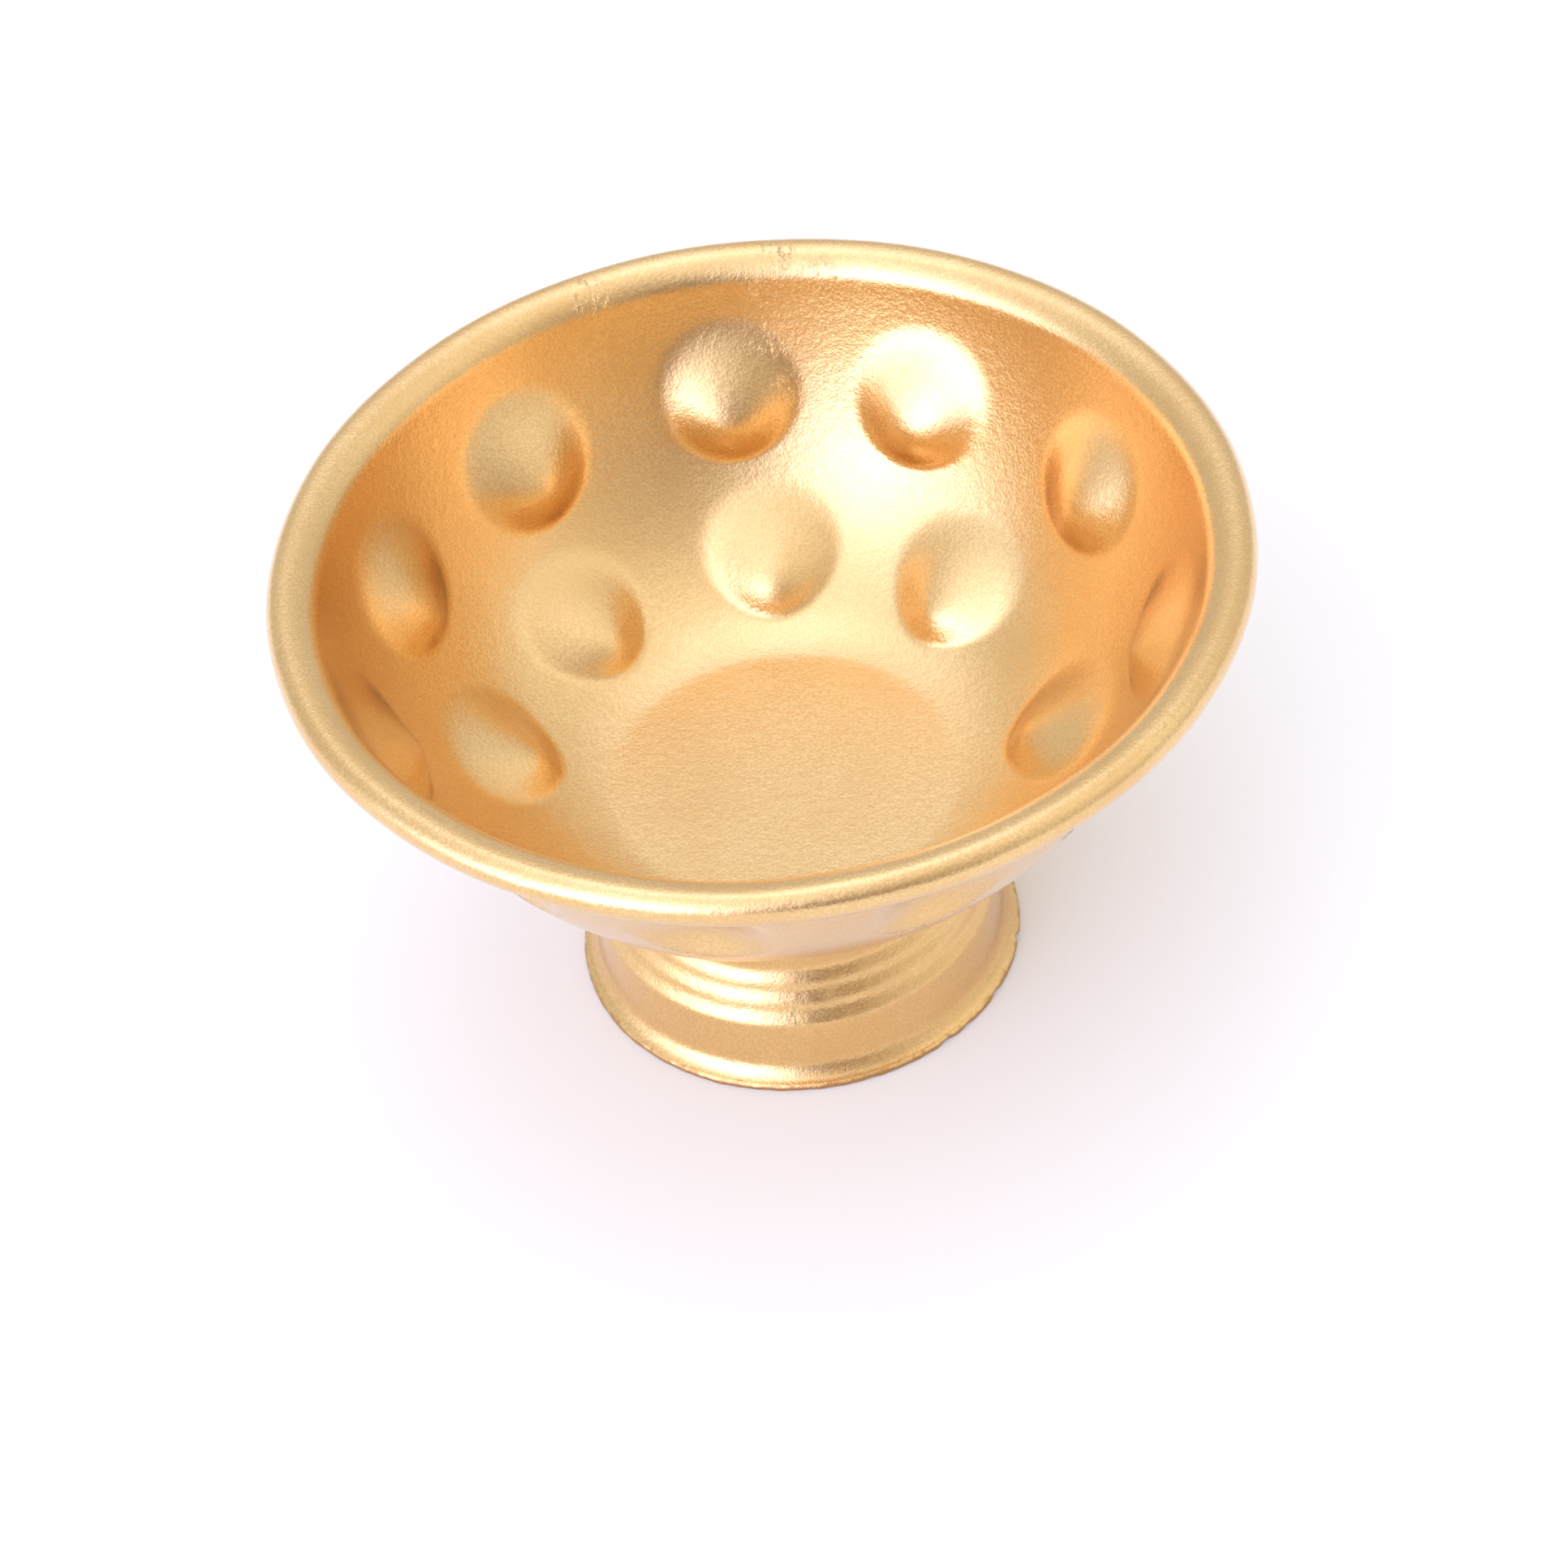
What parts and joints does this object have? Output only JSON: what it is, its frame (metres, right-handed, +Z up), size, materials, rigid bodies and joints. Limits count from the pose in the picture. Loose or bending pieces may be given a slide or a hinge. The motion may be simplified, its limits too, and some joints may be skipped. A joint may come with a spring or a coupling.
{
  "type": "footed bowl",
  "caption": "Small decorative footed bowl of gold-coloured sheet metal: dented conical bowl with a rolled rim on a stepped, flared foot that is open underneath.",
  "frame": {"origin": "middle of the circle that the foot stands on", "axes": "+Z up along the bowl's own axis; +X and +Y level, with the dent ring's first dent near +Y"},
  "size_m": [0.08, 0.08, 0.0446],
  "materials": {
    "gold_bowl": "satin, fine powdery grain",
    "gold_foot": "satin, raw cut lower edge",
    "braze": "dull, slightly lumpy"
  },
  "bodies": {
    "root": {"bowl_shell": "gold_bowl", "foot": "gold_foot", "braze_joint": "braze"}
  },
  "joints": []
}
